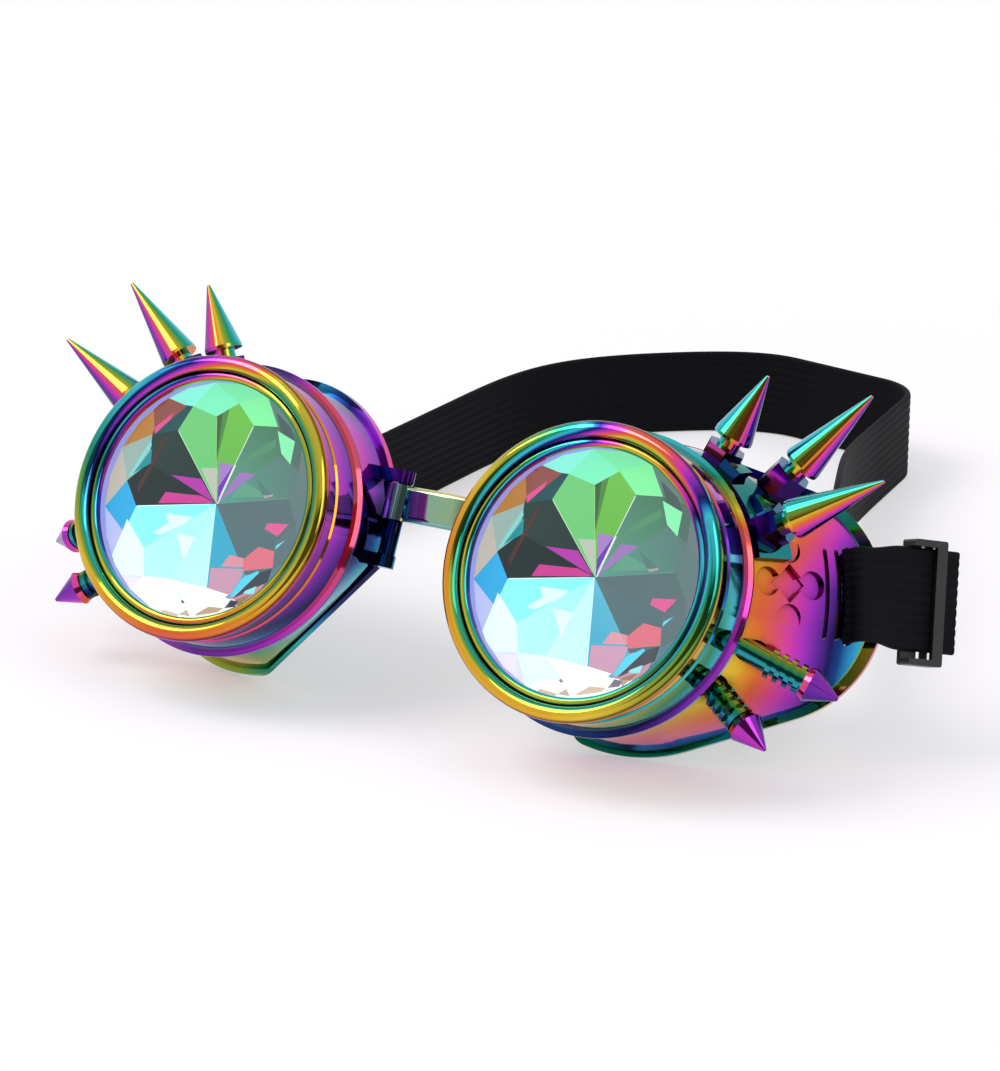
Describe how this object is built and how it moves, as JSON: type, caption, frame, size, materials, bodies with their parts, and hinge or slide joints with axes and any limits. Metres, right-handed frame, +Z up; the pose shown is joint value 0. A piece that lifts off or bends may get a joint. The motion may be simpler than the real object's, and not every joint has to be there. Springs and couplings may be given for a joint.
{
  "type": "spiked kaleidoscope goggles",
  "caption": "Round-lensed diffraction goggles with rainbow-plated cups, cut-crystal lenses, screw-on rings, cone spikes, a hooked nose bridge and a black elastic strap.",
  "frame": {"origin": "middle of the bottom of the bounding box, on the table that the goggles lie on", "axes": "+X from the left goggle to the right one as a viewer facing the lenses sees them, +Y from the lenses back along the strap, +Z up from the table"},
  "size_m": [0.198, 0.2356, 0.0746],
  "materials": {
    "plated_cup": "rainbow vapour-plated gloss",
    "plated_ring": "rainbow vapour-plated gloss",
    "plated_spike": "rainbow vapour-plated gloss",
    "plated_stud": "rainbow vapour-plated gloss",
    "plated_bracket": "rainbow vapour-plated gloss",
    "plated_nut": "rainbow vapour-plated gloss",
    "plated_bridge": "rainbow vapour-plated gloss",
    "crystal": "polished, rear side cut in facets",
    "gasket": "matte",
    "elastic": "ribbed woven elastic",
    "slider": "satin moulded"
  },
  "bodies": {
    "frame": {"nose_bridge": "plated_bridge", "back_strap": "elastic", "left_strap_run": "elastic", "right_strap_run": "elastic"},
    "left_cup": {"left_eye_cup": "plated_cup", "left_spike_bracket": "plated_bracket", "left_hex_nuts": "plated_nut", "left_long_spike_upper": "plated_spike", "left_long_spike_middle": "plated_spike", "left_long_spike_lower": "plated_spike", "left_ribbed_studs": "plated_stud", "left_short_spike_upper": "plated_spike", "left_short_spike_lower": "plated_spike", "left_strap_loop": "elastic"},
    "left_lens_stack": {"left_lens": "crystal", "left_lens_gasket": "gasket"},
    "left_ring": {"left_lens_ring": "plated_ring"},
    "right_cup": {"right_eye_cup": "plated_cup", "right_spike_bracket": "plated_bracket", "right_hex_nuts": "plated_nut", "right_long_spike_upper": "plated_spike", "right_long_spike_middle": "plated_spike", "right_long_spike_lower": "plated_spike", "right_ribbed_studs": "plated_stud", "right_short_spike_upper": "plated_spike", "right_short_spike_lower": "plated_spike", "right_strap_tail": "elastic"},
    "right_lens_stack": {"right_lens": "crystal", "right_lens_gasket": "gasket"},
    "right_ring": {"right_lens_ring": "plated_ring"},
    "slider": {"slider": "slider"}
  },
  "joints": [
    {"name": "left_bridge_pivot", "type": "hinge", "parent": "frame", "child": "left_cup", "pos_m": [-0.0107, -0.08506, 0.03248], "axis": [0, 0.4509, 0.8926], "range_deg": [-10, 10], "deforming": ["left_strap_run"]},
    {"name": "left_ring_travel", "type": "slide", "parent": "left_cup", "child": "left_lens_stack", "axis": [0, -0.8926, 0.4509], "range_m": [0, 0.003]},
    {"name": "left_ring_turn", "type": "hinge", "parent": "left_lens_stack", "child": "left_ring", "pos_m": [-0.0435, -0.1026, 0.04134], "axis": [0, -0.8926, 0.4509], "range_deg": [0, 720]},
    {"name": "right_bridge_pivot", "type": "hinge", "parent": "frame", "child": "right_cup", "pos_m": [0.0097, -0.08506, 0.03248], "axis": [0, 0.4509, 0.8926], "range_deg": [-10, 10], "deforming": ["right_strap_run"]},
    {"name": "right_ring_travel", "type": "slide", "parent": "right_cup", "child": "right_lens_stack", "axis": [0, -0.8926, 0.4509], "range_m": [0, 0.003]},
    {"name": "right_ring_turn", "type": "hinge", "parent": "right_lens_stack", "child": "right_ring", "pos_m": [0.0425, -0.1026, 0.04134], "axis": [0, -0.8926, 0.4509], "range_deg": [0, 720]},
    {"name": "slider_slide", "type": "slide", "parent": "right_cup", "child": "slider", "axis": [0.5259, 0.8149, -0.2436], "range_m": [-0.001, 0.003]}
  ],
  "couplings": [
    {"joint": "left_ring_turn", "follows": "left_ring_travel", "rad_per_m": 4188.8},
    {"joint": "right_ring_turn", "follows": "right_ring_travel", "rad_per_m": 4188.8}
  ]
}
